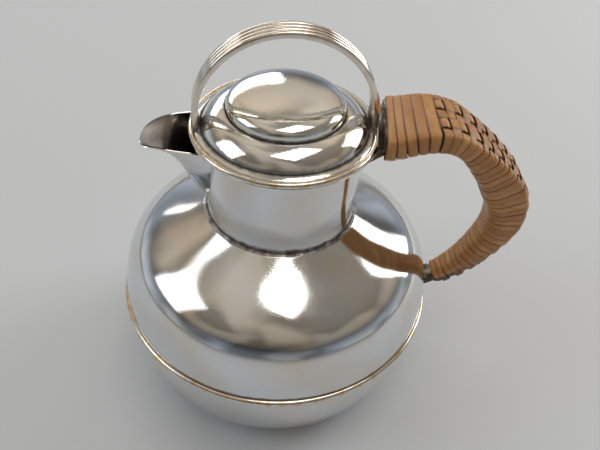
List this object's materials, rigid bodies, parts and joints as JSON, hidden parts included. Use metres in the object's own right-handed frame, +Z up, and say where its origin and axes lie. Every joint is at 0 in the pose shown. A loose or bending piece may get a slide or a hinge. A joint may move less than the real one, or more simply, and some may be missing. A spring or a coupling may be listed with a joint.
{
  "type": "coffee pot",
  "caption": "Round-bodied silver coffee pot with a straight neck, beak spout, lift-off domed lid with a reeded loop, and a cane-wrapped handle.",
  "frame": {"origin": "middle of the flat base plate's underside", "axes": "+Z up along the pot's axis, +X towards the handle, -X towards the spout"},
  "size_m": [0.1862, 0.1496, 0.1876],
  "materials": {
    "silver_plate": "polished silver plate with fine scratches and light tarnish",
    "worn_silver_wire": "silver wire worn towards yellow on its crests, dark in its grooves",
    "tarnished_mount": "dull tarnished metal",
    "cane": "satin split cane, honey to reddish brown",
    "cane_stake": "satin split cane, a little darker"
  },
  "bodies": {
    "pot": {"lower_bowl": "silver_plate", "shoulder": "silver_plate", "base_plate": "silver_plate", "neck": "silver_plate", "spout": "silver_plate", "girdle_wire": "worn_silver_wire", "mouth_wire": "worn_silver_wire", "upper_socket": "tarnished_mount", "lower_socket": "tarnished_mount", "socket_pin": "tarnished_mount", "handle_tube": "tarnished_mount", "cane_wrap": "cane", "front_stake": "cane_stake", "back_stake": "cane_stake"},
    "lid": {"lid_cover": "silver_plate", "lid_edge_wire": "worn_silver_wire", "lid_bezel": "silver_plate", "lid_loop": "worn_silver_wire"}
  },
  "joints": [
    {"name": "lid_lift", "type": "slide", "parent": "pot", "child": "lid", "axis": [0, 0, 1], "range_m": [0, 0.06]}
  ]
}
